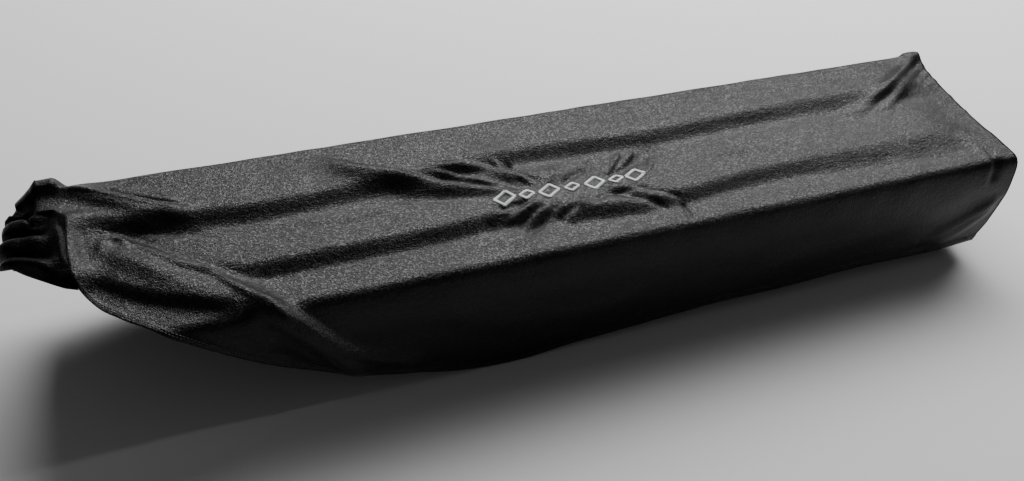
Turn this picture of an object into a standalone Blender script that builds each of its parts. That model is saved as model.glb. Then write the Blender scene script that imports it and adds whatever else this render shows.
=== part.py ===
"""Piano cover: a long fitted dust cover of black stretch velvet, pulled back at its front left corner.

It is sewn from a main panel, which is the rear drop, the top and the front drop in one length,
and from two end panels. Each is an open surface with a cloth's thickness. A point of the main
panel is found from x, its place along the cover, and across, the distance over the section:
on the top it is y, past the front edge it goes on down the front drop, and past the rear edge
down the rear drop. Sizes in the tables are millimetres.
"""

from collections import namedtuple

import bmesh
import bpy
import numpy as np

MM = 0.001

# Driving sizes: x from the left end, y from the front, z from the level that the top stands above.
LENGTH = 1322.0
DEPTH = 252.0
FRONT_HEIGHT = 79.0
MIDDLE_HEIGHT = 90.5
REAR_HEIGHT = 102.5
ORIGIN = (LENGTH / 2, DEPTH / 2, MIDDLE_HEIGHT)

CLOTH = 1.5
SEAM_GAP = 0.7
SEAM_TUCK = 1.2

Corner = namedtuple("Corner", "name y z rounding")
SECTION = (
    Corner("front hem", -7.0, -100.0, 0.0),
    Corner("front lip", -3.5, 50.0, 26.0),
    Corner("front edge", 9.5, 78.0, 8.0),
    Corner("rear edge", 254.5, REAR_HEIGHT, 5.0),
    Corner("rear hem", 257.0, -80.0, 0.0),
)
FRONT_EDGE = 2
REAR_EDGE = 3

Place = namedtuple("Place", "x across")
FRONT_FOLD = (
    Place(63, 190),
    Place(130, 142),
    Place(200, 90),
    Place(250, 48),
    Place(300, 14),
    Place(340, 9.5),
    Place(1322, 9.5),
)
FRONT_HEM = (
    Place(70, 90),
    Place(89, 60),
    Place(108, 42),
    Place(135, 20),
    Place(152, 5),
    Place(173, -8),
    Place(196, -24),
    Place(243, -57),
    Place(283, -82),
    Place(335, -108),
    Place(403, -131),
    Place(500, -157),
    Place(565, -161),
    Place(622, -155),
    Place(740, -147),
    Place(835, -141),
    Place(965, -141),
    Place(1100, -136),
    Place(1230, -140),
    Place(1303, -136),
)
REAR_HEM = (
    Place(0, 385),
    Place(120, 408),
    Place(400, 416),
    Place(900, 414),
    Place(1326, 418),
)
LEFT_SEAM = (
    Place(70, 90),
    Place(65, 106),
    Place(61, 140),
    Place(63, 190),
    Place(49, 211),
    Place(31, 215),
    Place(31, 254),
    Place(3, 272),
    Place(0, 385),
)
CORNER = LEFT_SEAM[3]
RIGHT_SEAM = (
    Place(1303, -136),
    Place(1316, -105),
    Place(1323, -60),
    Place(1325.5, 0),
    Place(1325.5, 418),
)

# A step is where the top goes down from one level to the next one nearer the front.
Step = namedtuple("Step", "name rise run line")
STEPS = (
    Step(
        "front step",
        MIDDLE_HEIGHT - FRONT_HEIGHT,
        34,
        (
            (60, 100), (150, 88), (244, 70), (340, 70), (450, 71), (550, 74), (610, 68), (700, 56),
            (950, 67), (1240, 65), (1322, 70),
        ),
    ),
    Step(
        "rear step",
        REAR_HEIGHT - MIDDLE_HEIGHT,
        38,
        ((60, 176), (130, 172), (260, 158), (450, 165), (600, 176), (800, 170), (1000, 177), (1240, 177), (1322, 180)),
    ),
)

# Past the end of the steps the top slopes evenly down to these heights at the right end, as (y, z).
RIGHT_END_LEVEL = ((9.5, 78.0), (50, 79.5), (90, 80.5), (136, 82.5), (186, 87), (225, 92.5), (254.5, 102.5))
RIGHT_FADE_START = 1230.0
RIGHT_FADE_LENGTH = 90.0

# A fold stands up by height along its path, or dips where height is less than 0.
Fold = namedtuple("Fold", "name height front_width rear_width path")
FOLDS = (
    Fold("ridge from the rear corner", 6, 11, 9, ((30, 246), (73, 240), (111, 215), (154, 186), (215, 163))),
    Fold("peak at the rear corner", 14, 10, 16, ((-10, 252), (26, 254), (66, 256))),
    Fold("second ridge", 7, 14, 12, ((24, 218), (66, 197), (100, 188), (135, 176), (170, 168))),
    Fold("roll along the corner seam", 15, 24, 26, ((50, 206), (57, 165), (60, 130), (66, 104), (76, 80))),
    Fold("long ridge over the top", 12, 19, 10, ((84, 158), (128, 112), (158, 86), (188, 66), (236, 46), (268, 10))),
    Fold("long ridge down the front", 15, 13, 16, ((236, 44), (268, 6), (292, -20), (318, -52), (336, -82), (372, -112))),
    Fold("flare of the hem", 3, 18, 26, ((325, -106), (372, -112), (430, -126))),
    Fold("roll under the long ridge", 8, 12, 17, ((78, 122), (108, 94), (150, 66), (195, 44), (254, 16))),
    Fold("pull from the rear right", 4, 9, 12, ((1330, 262), (1272, 221), (1222, 189), (1160, 160), (1100, 150))),
    Fold("peak at the rear right", 4, 12, 12, ((1290, 254), (1318, 252), (1346, 250))),
    Fold("soft fold beside it", 3, 9, 10, ((1318, 236), (1262, 196), (1210, 160), (1170, 140))),
    Fold("front right corner notch", -4, 9, 9, ((1291, 18), (1290, 2), (1288, -22))),
    Fold("low fold at the right", 5, 9, 14, ((1205, -128), (1262, -104), (1320, -60))),
    Fold("crease into the middle", -4, 11, 13, ((470, 158), (520, 140), (566, 112), (600, 104))),
    Fold("swell above the middle", 4, 14, 18, ((520, 166), (590, 146), (640, 134), (690, 140))),
    Fold("crease to the right", -4, 9, 11, ((700, 112), (752, 128), (820, 150))),
    Fold("crease to the front", -3, 12, 10, ((600, 98), (570, 78), (520, 70))),
    Fold("crease to the front right", -3, 9, 10, ((690, 96), (730, 76), (752, 60))),
)

END_BLOCK_START = 1258.0
END_BLOCK_RISE = 2.0
END_BLOCK_BACK = 84.0
END_BLOCK_EDGE = 26.0

# The left end panel lies over a corner of its own; out is measured from it, + on the top.
LEFT_CORNER = (-1.5, 88.0)
LEFT_ROUNDING = 9.0
EndPlace = namedtuple("EndPlace", "out y")
LEFT_HEM = (
    EndPlace(-118, 256),
    EndPlace(-96, 238),
    EndPlace(-60, 207),
    EndPlace(-24, 170),
    EndPlace(0, 141),
    EndPlace(13, 131),
    EndPlace(33, 115),
    EndPlace(58, 96),
    EndPlace(71, 90),
)
LEFT_FOLDS = (
    Fold("shoulder", 7, 12, 12, ((-90, 244), (-30, 236), (4, 233), (44, 230))),
    Fold("upper roll", 12, 12, 14, ((-100, 224), (-40, 214), (6, 208), (52, 204))),
    Fold("middle roll", 14, 11, 12, ((-70, 196), (-30, 182), (6, 172), (54, 158))),
    Fold("lower roll", 8, 9, 10, ((-36, 166), (-6, 150), (24, 136), (56, 112))),
    Fold("pleat beside the seam", 5, 7, 9, ((44, 206), (50, 180), (52, 142), (58, 112))),
)
RIGHT_BULGE = 4.0

FRONT_DROP_ROWS = (0.0, 0.1, 0.3, 0.5, 0.68, 0.84, 0.95, 1.0)
TOP_ROWS = 16
EDGE_ROW_SHARE = 0.03
COLUMN_NEAR = 9.0
COLUMN_FAR = 21.0
GATHERED_LENGTH = 80.0
GROWTH_LENGTH = 360.0
RIGHT_END_LENGTH = 90.0
SEAM_COLUMN = 4.0

SIDE = len(FRONT_DROP_ROWS) - 1
ROWS = 2 * SIDE + TOP_ROWS


def curve_through(places, x):
    """Smooth value at x through (x, value) places, flat past both ends."""
    xs, ys = np.array(places, float).T
    slope = np.gradient(ys, xs)
    x = np.clip(x, xs[0], xs[-1])
    at = np.clip(np.searchsorted(xs, x, side="right") - 1, 0, len(xs) - 2)
    run = xs[at + 1] - xs[at]
    f = (x - xs[at]) / run
    start = (1 + 2 * f) * (1 - f) ** 2 * ys[at] + f * (1 - f) ** 2 * run * slope[at]
    return start + f * f * (3 - 2 * f) * ys[at + 1] + f * f * (f - 1) * run * slope[at + 1]


def ease(f):
    """0 before 0, 1 after 1 and a smooth rise between."""
    f = np.clip(f, 0.0, 1.0)
    return f * f * (3.0 - 2.0 * f)


def bent_line(points, roundings, zero, at):
    """Place and outward normal at a distance along a bent line with rounded corners."""
    points = np.array(points, float)
    runs = np.diff(points, axis=0)
    lengths = np.hypot(*runs.T)
    corners = np.concatenate([[0.0], np.cumsum(lengths)])
    corners -= corners[zero]
    heading = runs / lengths[:, None]
    leg = np.clip(np.searchsorted(corners, at, side="right") - 1, 0, len(runs) - 1)
    place = points[leg] + heading[leg] * (at - corners[leg])[..., None]
    along = heading[leg].copy()
    for k in range(1, len(points) - 1):
        rounding = roundings[k]
        f = (at - corners[k] + rounding) / (2 * rounding)
        inside = ((f > 0) & (f < 1))[..., None]
        f = np.clip(f, 0.0, 1.0)[..., None]
        before = points[k] - heading[k - 1] * rounding
        after = points[k] + heading[k] * rounding
        bend = (1 - f) ** 2 * before + 2 * f * (1 - f) * points[k] + f**2 * after
        turn = (1 - f) * heading[k - 1] + f * heading[k]
        place = np.where(inside, bend, place)
        along = np.where(inside, turn, along)
    along /= np.hypot(along[..., 0], along[..., 1])[..., None]
    return place, np.stack([-along[..., 1], along[..., 0]], axis=-1)


def smooth_path(points, steps=5):
    """Points of a smooth curve through the given ones, with how far along each lies, from 0 to 1."""
    points = np.array(points, float)
    reach = np.concatenate([[0.0], np.cumsum(np.hypot(*np.diff(points, axis=0).T))])
    at = np.linspace(0.0, reach[-1], steps * (len(points) - 1) + 1)
    bend = [curve_through(np.stack([reach, points[:, k]], axis=1), at) for k in (0, 1)]
    return np.stack(bend, axis=1), at / reach[-1]


def fold_height(fold, x, across):
    """Height that one fold adds at each point: a ridge along its path that runs out at both ends."""
    path, along = smooth_path(fold.path)
    nearest = np.full(x.shape, np.inf)
    height = np.zeros(x.shape)
    for (x0, a0), (x1, a1), s0, s1 in zip(path, path[1:], along, along[1:]):
        dx, da = x1 - x0, a1 - a0
        f = np.clip(((x - x0) * dx + (across - a0) * da) / (dx * dx + da * da), 0.0, 1.0)
        off_x, off_a = x - x0 - f * dx, across - a0 - f * da
        distance = np.hypot(off_x, off_a)
        side = dx * off_a - da * off_x if dx > 0 else da * off_x - dx * off_a
        width = np.where(side > 0, fold.rear_width, fold.front_width)
        s = s0 + f * (s1 - s0)
        taper = ease(s / 0.22) * ease((1.0 - s) / 0.22)
        here = fold.height * taper * np.exp(-((distance / width) ** 2))
        height = np.where(distance < nearest, here, height)
        nearest = np.minimum(nearest, distance)
    return height


def top_offset(x, across):
    """How far the stepped top stands above the straight line from the front edge to the rear edge."""
    front, rear = SECTION[FRONT_EDGE], SECTION[REAR_EDGE]
    y = np.clip(across, front.y, rear.y)
    level = FRONT_HEIGHT + (front.z - FRONT_HEIGHT) * ease(1.0 - (y - front.y) / front.rounding)
    for step in STEPS:
        level = level + step.rise * ease((y - curve_through(step.line, x)) / step.run + 0.5)
    end_level = curve_through(RIGHT_END_LEVEL, y)
    level = level + (end_level - level) * ease((x - RIGHT_FADE_START) / RIGHT_FADE_LENGTH)
    straight = front.z + (rear.z - front.z) * (y - front.y) / (rear.y - front.y)
    return level - straight


def main_surface(x, across, tuck=0.0):
    """Inner face of the main panel; tuck draws it in, as beside a seam."""
    profile = [(corner.y, corner.z) for corner in SECTION]
    roundings = [corner.rounding for corner in SECTION]
    place, normal = bent_line(profile, roundings, FRONT_EDGE, across - SECTION[FRONT_EDGE].y)
    lift = sum(fold_height(fold, x, across) for fold in FOLDS)
    end_block = ease((x - END_BLOCK_START) / END_BLOCK_EDGE)
    end_block = end_block * ease(across / END_BLOCK_EDGE + 1.0) * ease((END_BLOCK_BACK - across) / END_BLOCK_EDGE)
    lift = lift + END_BLOCK_RISE * end_block - tuck
    y = place[..., 0] + normal[..., 0] * lift
    z = place[..., 1] + normal[..., 1] * lift + top_offset(x, across)
    return np.stack([x, y, z], axis=-1)


def column_places():
    """Places of the columns from 0 to 1, closer together at the gathered left end and at the right end."""
    places = [0.0]
    while places[-1] < LENGTH:
        growth = ease((places[-1] - GATHERED_LENGTH) / GROWTH_LENGTH)
        growth *= ease((LENGTH - places[-1]) / RIGHT_END_LENGTH)
        places.append(places[-1] + COLUMN_NEAR + (COLUMN_FAR - COLUMN_NEAR) * growth)
    places = np.array(places) / places[-1]
    return np.insert(places, -1, 1.0 - SEAM_COLUMN / LENGTH)


def row_across(x):
    """Across at each row for each x: up the front drop, over the top and down the rear drop."""
    hem = curve_through(FRONT_HEM, x)
    fold = curve_through(FRONT_FOLD, x)
    rear = np.full_like(x, SECTION[REAR_EDGE].y)
    end = curve_through(REAR_HEM, x)
    side = np.array(FRONT_DROP_ROWS)
    top = np.linspace(0.0, 1.0, TOP_ROWS + 1)
    top[1], top[-2] = EDGE_ROW_SHARE, 1.0 - EDGE_ROW_SHARE
    rows = [hem + (fold - hem) * f for f in side]
    rows += [fold + (rear - fold) * f for f in top[1:]]
    rows += [end + (rear - end) * f for f in side[-2::-1]]
    return rows


def main_points():
    """Rows and columns of the main panel's inner face, the first row at the front hem."""
    columns = column_places()
    left_across = np.array(row_across(np.full(1, CORNER.x)))[:, 0]
    foot = LEFT_SEAM[0].across
    left_across[:SIDE] = foot + (CORNER.across - foot) * np.array(FRONT_DROP_ROWS[:-1])
    right_across = np.array(row_across(np.full(1, LENGTH)))[:, 0]
    left = np.interp(left_across, [p.across for p in LEFT_SEAM], [p.x for p in LEFT_SEAM])
    right = np.interp(right_across, [p.across for p in RIGHT_SEAM], [p.x for p in RIGHT_SEAM])
    x = left[:, None] + (right - left)[:, None] * columns
    across = np.stack([row_across(x[r])[r] for r in range(ROWS + 1)])
    across[:SIDE, 0] = left_across[:SIDE]
    tuck = np.zeros_like(x)
    tuck[:, -1] = SEAM_TUCK
    return main_surface(x, across, tuck)


def seam_border(edge, inner):
    """The other side of a seam: a border moved off the main panel's edge by the seam's gap."""
    along = np.gradient(edge, axis=0)
    along /= np.linalg.norm(along, axis=1)[:, None]
    out = edge - inner
    out -= (out * along).sum(axis=1)[:, None] * along
    out /= np.linalg.norm(out, axis=1)[:, None]
    return edge + out * SEAM_GAP


def spread(start_side, end_side, hem, seam):
    """A surface spanned between four borders; the sides run from the hem up to the seam."""
    p = np.linspace(0.0, 1.0, len(hem))[None, :, None]
    q = np.array(FRONT_DROP_ROWS)[:, None, None]
    corners = (1 - p) * ((1 - q) * start_side[0] + q * start_side[-1])
    corners = corners + p * ((1 - q) * end_side[0] + q * end_side[-1])
    sides = (1 - p) * start_side[:, None] + p * end_side[:, None]
    return sides + (1 - q) * hem[None] + q * seam[None] - corners


def left_surface(out, y):
    """Inner face of the left end panel where it lies over its corner, before its seams are met."""
    corner_x, corner_z = LEFT_CORNER
    line = ((corner_x, corner_z - 200.0), (corner_x, corner_z), (corner_x + 200.0, corner_z))
    place, normal = bent_line(line, (0.0, LEFT_ROUNDING, 0.0), 1, out)
    lift = sum(fold_height(fold, out, y) for fold in LEFT_FOLDS)
    x = place[..., 0] + normal[..., 0] * lift
    z = place[..., 1] + normal[..., 1] * lift
    return np.stack([x, y, z], axis=-1)


def left_points(main):
    """Rows and columns of the left end panel, from the rear to the front."""
    border = seam_border(main[:, 0], main[:, 1])
    rear = border[: SIDE + TOP_ROWS - 1 : -1]
    seam = border[SIDE + TOP_ROWS : SIDE - 1 : -1]
    front = border[: SIDE + 1]
    hem_at = np.linspace(0.0, 1.0, TOP_ROWS + 1)
    hem = np.stack(
        [np.interp(hem_at, np.linspace(0.0, 1.0, len(LEFT_HEM)), column) for column in np.array(LEFT_HEM).T],
        axis=1,
    )
    corner_x, corner_z = LEFT_CORNER

    def unrolled(points):
        on_top = points[:, 2] >= corner_z - LEFT_ROUNDING
        out = np.where(on_top, points[:, 0] - corner_x, points[:, 2] - corner_z)
        return np.stack([out, points[:, 1]], axis=1)

    flat = spread(unrolled(rear), unrolled(front), hem, unrolled(seam))
    points = left_surface(flat[..., 0], flat[..., 1])
    still = np.zeros_like(points[0])
    return points + spread(rear - points[:, 0], front - points[:, -1], still, seam - points[-1])


def right_points(main):
    """Rows and columns of the right end panel, from the front to the rear."""
    border = seam_border(main[:, -1], main[:, -2])
    front = border[: SIDE + 1]
    seam = border[SIDE : SIDE + TOP_ROWS + 1]
    rear = border[: SIDE + TOP_ROWS - 1 : -1]
    p = np.linspace(0.0, 1.0, TOP_ROWS + 1)[:, None]
    hem = front[0] + (rear[0] - front[0]) * p
    points = spread(front, rear, hem, seam)
    q = np.array(FRONT_DROP_ROWS)[:, None]
    square = np.sin(np.pi * np.linspace(0.0, 1.0, TOP_ROWS + 1)) ** 0.5
    points[..., 0] += (RIGHT_BULGE * ease((1 - q) / 0.12)) * square
    return points


def velvet():
    material = bpy.data.materials.new("black stretch velvet")
    material.use_nodes = True
    shader = material.node_tree.nodes["Principled BSDF"]
    shader.inputs["Base Color"].default_value = (0.012, 0.012, 0.013, 1.0)
    shader.inputs["Roughness"].default_value = 0.5
    shader.inputs["Metallic"].default_value = 0.0
    return material


def cloth_panel(name, points, collection, material):
    """A panel with a cloth's thickness, from the rows and columns of its inner face."""
    rows, columns = points.shape[:2]
    row_points = (points - np.array(ORIGIN)) * MM
    bm = bmesh.new()
    bmesh.ops.create_grid(bm, x_segments=columns - 1, y_segments=rows - 1, size=1.0)
    for vertex in bm.verts:
        column = round((vertex.co.x + 1) / 2 * (columns - 1))
        row = round((vertex.co.y + 1) / 2 * (rows - 1))
        vertex.co = row_points[row, column]
    mesh = bpy.data.meshes.new(name)
    bm.to_mesh(mesh)
    bm.free()
    mesh.shade_smooth()
    mesh.materials.append(material)
    panel = bpy.data.objects.new(name, mesh)
    thickness = panel.modifiers.new("thickness", "SOLIDIFY")
    thickness.thickness = CLOTH * MM
    thickness.offset = 1.0
    collection.objects.link(panel)
    return panel


def main():
    for old in list(bpy.data.objects):
        bpy.data.objects.remove(old)
    collection = bpy.data.collections.new("piano_cover")
    bpy.context.scene.collection.children.link(collection)
    material = velvet()
    middle = main_points()
    cloth_panel("main_panel", middle, collection, material)
    cloth_panel("left_end_panel", left_points(middle), collection, material)
    cloth_panel("right_end_panel", right_points(middle), collection, material)


main()
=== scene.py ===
"""Looks of the piano cover: three sewn panels of black stretch velvet, an embroidered row and hem stitching.

Tables are in millimetres: x from the cover's left end, y from its front, z from the level under it.
across is the distance over the cover's section: y on the top, then on down the front or rear drop.
"""

from collections import namedtuple

import bmesh
import bpy
import numpy as np
from bpy.props import FloatProperty, FloatVectorProperty, PointerProperty
from mathutils import Matrix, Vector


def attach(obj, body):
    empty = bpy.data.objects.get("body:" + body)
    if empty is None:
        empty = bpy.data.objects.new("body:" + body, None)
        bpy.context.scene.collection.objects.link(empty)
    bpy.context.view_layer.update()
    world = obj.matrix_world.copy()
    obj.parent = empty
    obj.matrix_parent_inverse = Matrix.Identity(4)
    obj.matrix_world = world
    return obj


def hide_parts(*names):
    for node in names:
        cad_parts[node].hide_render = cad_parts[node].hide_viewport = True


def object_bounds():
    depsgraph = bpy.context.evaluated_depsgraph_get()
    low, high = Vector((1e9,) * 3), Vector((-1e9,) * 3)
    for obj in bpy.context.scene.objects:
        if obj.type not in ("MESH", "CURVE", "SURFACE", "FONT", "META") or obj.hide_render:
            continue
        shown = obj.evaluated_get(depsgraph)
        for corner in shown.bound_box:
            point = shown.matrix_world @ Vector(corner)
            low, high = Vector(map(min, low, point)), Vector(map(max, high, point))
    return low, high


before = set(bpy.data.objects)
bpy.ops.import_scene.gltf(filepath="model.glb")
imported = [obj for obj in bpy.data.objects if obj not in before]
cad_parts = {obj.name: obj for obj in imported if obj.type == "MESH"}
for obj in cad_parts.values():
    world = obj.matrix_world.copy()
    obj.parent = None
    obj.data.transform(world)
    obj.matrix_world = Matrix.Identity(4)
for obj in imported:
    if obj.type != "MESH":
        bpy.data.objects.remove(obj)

FRAME_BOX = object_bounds()

bl_info = {
    "name": "Velvet piano cover",
    "version": (1, 0, 0),
    "blender": (4, 5, 0),
    "location": "View3D > Sidebar > Cover",
    "description": "Builds a draped velvet piano cover with embroidery and stitched hems",
    "category": "Add Mesh",
}

MM = 0.001
WHITE = (1.0, 1.0, 1.0, 1.0)

LENGTH = 1322.0
DEPTH = 252.0
FRONT_HEIGHT = 79.0
MIDDLE_HEIGHT = 90.5
REAR_HEIGHT = 102.5
ORIGIN = np.array((LENGTH / 2, DEPTH / 2, MIDDLE_HEIGHT))
# The turned hem stands proud over its width and falls back within a short slope.
HEM_WIDTH = 9.0
HEM_RISE = 0.8
HEM_SLOPE = 3.0
HEM_SLOPE_PAST = 2.0
SEAM_UNDERLAP = 1.6
SEAM_DROP = 1.7
SEAM_TUCK = 1.2

Corner = namedtuple("Corner", "name y z rounding")
SECTION = (
    Corner("front hem", -7.0, -100.0, 0.0),
    Corner("front lip", -3.5, 50.0, 26.0),
    Corner("front edge", 9.5, 78.0, 8.0),
    Corner("rear edge", 254.5, REAR_HEIGHT, 5.0),
    Corner("rear hem", 257.0, -80.0, 0.0),
)
FRONT_EDGE = 2
REAR_EDGE = 3

Place = namedtuple("Place", "x across")
FRONT_FOLD = (
    Place(63, 190), Place(130, 142), Place(200, 90), Place(250, 48),
    Place(300, 14), Place(340, 9.5), Place(1322, 9.5),
)
FRONT_HEM = (
    Place(70, 90), Place(89, 60), Place(108, 42), Place(135, 20), Place(152, 5), Place(173, -8),
    Place(196, -24), Place(243, -57), Place(283, -82), Place(335, -108), Place(403, -131),
    Place(500, -157), Place(565, -161), Place(622, -155), Place(740, -147), Place(835, -141),
    Place(965, -141), Place(1100, -136), Place(1230, -140), Place(1303, -136),
)
REAR_HEM = (Place(0, 385), Place(120, 408), Place(400, 416), Place(900, 414), Place(1326, 418))
LEFT_SEAM = (
    Place(70, 90), Place(65, 106), Place(61, 140), Place(63, 190), Place(49, 211),
    Place(31, 215), Place(31, 254), Place(3, 272), Place(0, 385),
)
CORNER = LEFT_SEAM[3]
RIGHT_SEAM = (
    Place(1303, -136), Place(1316, -105), Place(1323, -60), Place(1325.5, 0), Place(1325.5, 418),
)

# A step is where the top goes down to the next level nearer the front: rise over run, along a line of
# (x, y) places. The run widens as the (x, factor) table says.
Step = namedtuple("Step", "name rise run widening line")
STEPS = (
    Step(
        "front step", MIDDLE_HEIGHT - FRONT_HEIGHT, 26,
        ((196, 2.2), (244, 1.0), (860, 1.0), (1000, 1.35), (1200, 2.1)),
        (
            (60, 100), (150, 88), (244, 70), (340, 70), (450, 71), (550, 74), (610, 68), (700, 56),
            (950, 67), (1240, 65), (1322, 70),
        ),
    ),
    Step(
        "rear step", REAR_HEIGHT - MIDDLE_HEIGHT, 30, ((960, 1.0), (1200, 1.3)),
        (
            (60, 176), (130, 172), (260, 158), (450, 165), (600, 176), (800, 170), (1000, 177),
            (1240, 177), (1322, 180),
        ),
    ),
)

# Left of their start the steps spread out into one gentle slope.
STEP_START = 142.0
STEP_SPREAD = 2.2
STEP_SPREAD_LENGTH = 46.0
# Past the end of the steps the top slopes evenly down to these heights at the right end, as (y, z).
RIGHT_END_LEVEL = ((9.5, 78.0), (50, 79.5), (90, 80.5), (136, 82.5), (186, 87), (225, 92.5), (254.5, 102.5))
RIGHT_FADE_START = 1230.0
RIGHT_FADE_LENGTH = 90.0

# A fold is a ridge, or a hollow with a minus sign, along a path of (x, across) places.
Fold = namedtuple("Fold", "name height front_width rear_width path")
MAIN_FOLDS = (
    Fold("ridge from the rear corner", 6, 11, 9, ((30, 246), (73, 240), (111, 215), (154, 186), (215, 163))),
    Fold("peak at the rear corner", 14, 10, 16, ((-10, 252), (26, 254), (66, 256))),
    Fold("second ridge", 5, 12, 12, ((24, 218), (66, 197), (100, 188), (135, 176), (170, 168))),
    Fold("roll along the corner seam", 15, 24, 26, ((50, 206), (57, 165), (60, 130), (66, 104), (76, 80))),
    Fold(
        "long ridge over the top", 10, 19, 17,
        ((84, 158), (128, 112), (158, 86), (188, 66), (236, 46), (268, 10)),
    ),
    Fold(
        "long ridge down the front", 15, 13, 13,
        ((236, 44), (268, 6), (292, -20), (318, -52), (336, -82), (372, -112)),
    ),
    Fold("flare of the hem", 3, 18, 26, ((325, -106), (372, -112), (430, -126))),
    Fold("roll under the long ridge", 6, 12, 17, ((78, 122), (108, 94), (150, 66), (195, 44), (254, 16))),
    Fold(
        "pull from the rear right", 4, 9, 12,
        ((1330, 262), (1272, 221), (1222, 189), (1160, 160), (1100, 150)),
    ),
    Fold("peak at the rear right", 4, 12, 12, ((1290, 254), (1318, 252), (1346, 250))),
    Fold("soft fold beside it", 3, 9, 10, ((1318, 236), (1262, 196), (1210, 160), (1170, 140))),
    Fold("front right corner notch", -2.5, 9, 9, ((1291, 18), (1290, 2), (1288, -22))),
    Fold("low fold at the right", 5, 9, 14, ((1205, -128), (1262, -104), (1320, -60))),
    Fold("crease into the middle", -4, 9, 15, ((416, 146), (470, 134), (530, 122), (576, 112), (610, 104))),
    Fold("swell above the middle", 4, 14, 18, ((520, 166), (590, 146), (640, 134), (690, 140))),
    Fold("crease to the right", -4, 9, 11, ((700, 112), (752, 128), (820, 150))),
    Fold("crease to the front", -3, 12, 10, ((600, 98), (570, 78), (520, 70))),
    Fold("crease to the front right", -3, 9, 10, ((690, 96), (730, 76), (752, 60))),
)
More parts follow.
